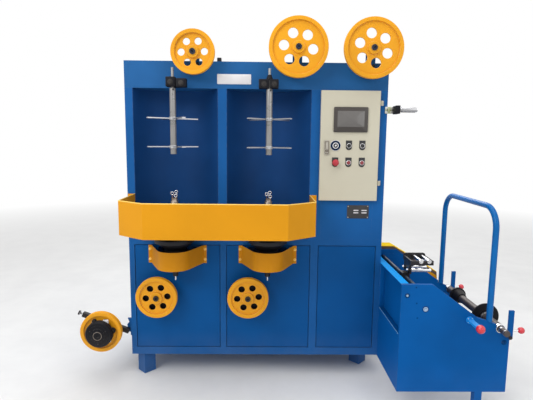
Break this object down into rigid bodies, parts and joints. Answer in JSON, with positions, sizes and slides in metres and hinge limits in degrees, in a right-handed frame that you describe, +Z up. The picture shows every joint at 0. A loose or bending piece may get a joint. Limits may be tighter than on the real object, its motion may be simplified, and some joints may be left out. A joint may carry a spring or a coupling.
{
  "type": "cable taping machine",
  "caption": "Vertical two-head cable taping machine: blue cabinet with arched bays, yellow guards and guide pulleys, control door and a take-up stand.",
  "frame": {"origin": "on the floor, under the middle of the whole machine's bounding box", "axes": "+X to the operator's right along the machine, +Y into the machine, +Z up"},
  "size_m": [2.5577, 1.289, 2.193],
  "materials": {
    "cabinet_blue": "satin",
    "panel_blue": "satin",
    "liner_blue": "satin",
    "guard_yellow": "satin",
    "pulley_yellow": "gloss",
    "beige_paint": "satin",
    "black_paint": "satin",
    "black_steel": "satin",
    "cast_black": "rough",
    "bright_steel": "satin",
    "zinc_steel": "matt",
    "chrome": "polished",
    "screen_black": "gloss",
    "button_plastic": "matt",
    "red_plastic": "gloss",
    "light_blue": "satin",
    "hoop_blue": "satin"
  },
  "bodies": {
    "machine": {"cabinet_base": "cabinet_blue", "cabinet_header": "cabinet_blue", "rear_housing": "cabinet_blue", "cabinet_posts": "cabinet_blue", "control_bay_rails": "cabinet_blue", "lower_panels": "panel_blue", "cabinet_feet": "cabinet_blue", "bay_liners": "liner_blue", "guard_rail": "guard_yellow", "pulley_guards": "guard_yellow", "head_carriers": "black_paint", "tube_hangers": "black_paint", "spare_tubes": "chrome", "cross_arms": "bright_steel", "top_pulley_brackets": "cabinet_blue", "lower_pulley_studs": "black_steel", "entry_bracket": "cabinet_blue", "entry_arm": "black_steel", "entry_brake": "cast_black", "door_hinges": "beige_paint", "mounting_plate": "zinc_steel", "roller_bracket": "zinc_steel", "stand_left_wall": "cabinet_blue", "stand_near_panel": "cabinet_blue", "stand_far_panel": "cabinet_blue", "stand_feet": "cabinet_blue", "shaft_bearings": "cast_black", "latch_pins": "black_steel", "lock_lever": "light_blue", "lever_knob": "red_plastic", "hoop": "hoop_blue", "chain_guard": "guard_yellow", "traverse_rods": "bright_steel"},
    "control_door": {"control_door": "beige_paint", "screen_panel": "screen_black", "control_buttons": "button_plastic", "door_lock": "zinc_steel"},
    "entry_pulley": {"entry_pulley": "pulley_yellow"},
    "left_lower_pulley": {"left_lower_pulley": "pulley_yellow"},
    "right_lower_pulley": {"right_lower_pulley": "pulley_yellow"},
    "left_top_pulley": {"left_top_pulley": "pulley_yellow"},
    "middle_top_pulley": {"middle_top_pulley": "pulley_yellow"},
    "right_top_pulley": {"right_top_pulley": "pulley_yellow"},
    "left_head": {"left_spindle": "black_steel", "left_belt_pulley": "cast_black", "left_tape_table": "black_steel"},
    "right_head": {"right_spindle": "black_steel", "right_belt_pulley": "cast_black", "right_tape_table": "black_steel"},
    "guide_roller": {"guide_roller": "bright_steel"},
    "reel_shaft": {"reel_shaft": "bright_steel", "reel_cones": "cast_black"},
    "near_latch": {"near_latch": "light_blue", "near_latch_knob": "red_plastic"},
    "far_latch": {"far_latch": "light_blue", "far_latch_knob": "red_plastic"},
    "traverse_carriage": {"carriage": "black_steel", "carriage_rollers": "chrome"}
  },
  "joints": [
    {"name": "control_door_hinge", "type": "hinge", "parent": "machine", "child": "control_door", "pos_m": [0.57985, -0.0885, 1.465], "axis": [0, 0, 1], "range_deg": [0, 110]},
    {"name": "entry_pulley_spin", "type": "hinge", "parent": "machine", "child": "entry_pulley", "pos_m": [-1.10515, -0.1505, 0.322], "axis": [0, 1, 0], "continuous": true},
    {"name": "left_lower_pulley_spin", "type": "hinge", "parent": "machine", "child": "left_lower_pulley", "pos_m": [-0.76215, -0.1505, 0.541], "axis": [0, 1, 0], "continuous": true},
    {"name": "right_lower_pulley_spin", "type": "hinge", "parent": "machine", "child": "right_lower_pulley", "pos_m": [-0.20615, -0.1505, 0.541], "axis": [0, 1, 0], "continuous": true},
    {"name": "left_top_pulley_spin", "type": "hinge", "parent": "machine", "child": "left_top_pulley", "pos_m": [-0.52615, -0.1505, 1.99], "axis": [0, 1, 0], "continuous": true},
    {"name": "middle_top_pulley_spin", "type": "hinge", "parent": "machine", "child": "middle_top_pulley", "pos_m": [0.07485, -0.1505, 2.023], "axis": [0, 1, 0], "continuous": true},
    {"name": "right_top_pulley_spin", "type": "hinge", "parent": "machine", "child": "right_top_pulley", "pos_m": [0.50385, -0.1505, 2.023], "axis": [0, 1, 0], "continuous": true},
    {"name": "left_head_spin", "type": "hinge", "parent": "machine", "child": "left_head", "pos_m": [-0.64415, -0.1505, 0.94], "axis": [0, 0, 1], "continuous": true},
    {"name": "right_head_spin", "type": "hinge", "parent": "machine", "child": "right_head", "pos_m": [-0.08815, -0.1505, 0.94], "axis": [0, 0, 1], "continuous": true},
    {"name": "guide_roller_spin", "type": "hinge", "parent": "machine", "child": "guide_roller", "pos_m": [0.72285, -0.1305, 1.681], "axis": [1, 0, 0], "continuous": true},
    {"name": "reel_shaft_spin", "type": "hinge", "parent": "machine", "child": "reel_shaft", "pos_m": [1.16285, -0.1635, 0.502], "axis": [0, 1, 0], "continuous": true},
    {"name": "near_latch_swing", "type": "hinge", "parent": "machine", "child": "near_latch", "pos_m": [1.20185, -0.5245, 0.466], "axis": [0, 1, 0], "range_deg": [0, 95]},
    {"name": "far_latch_swing", "type": "hinge", "parent": "machine", "child": "far_latch", "pos_m": [1.20185, 0.1975, 0.466], "axis": [0, 1, 0], "range_deg": [0, 95]},
    {"name": "traverse_slide", "type": "slide", "parent": "machine", "child": "traverse_carriage", "axis": [0, 1, 0], "range_m": [-0.1, 0.36]}
  ]
}
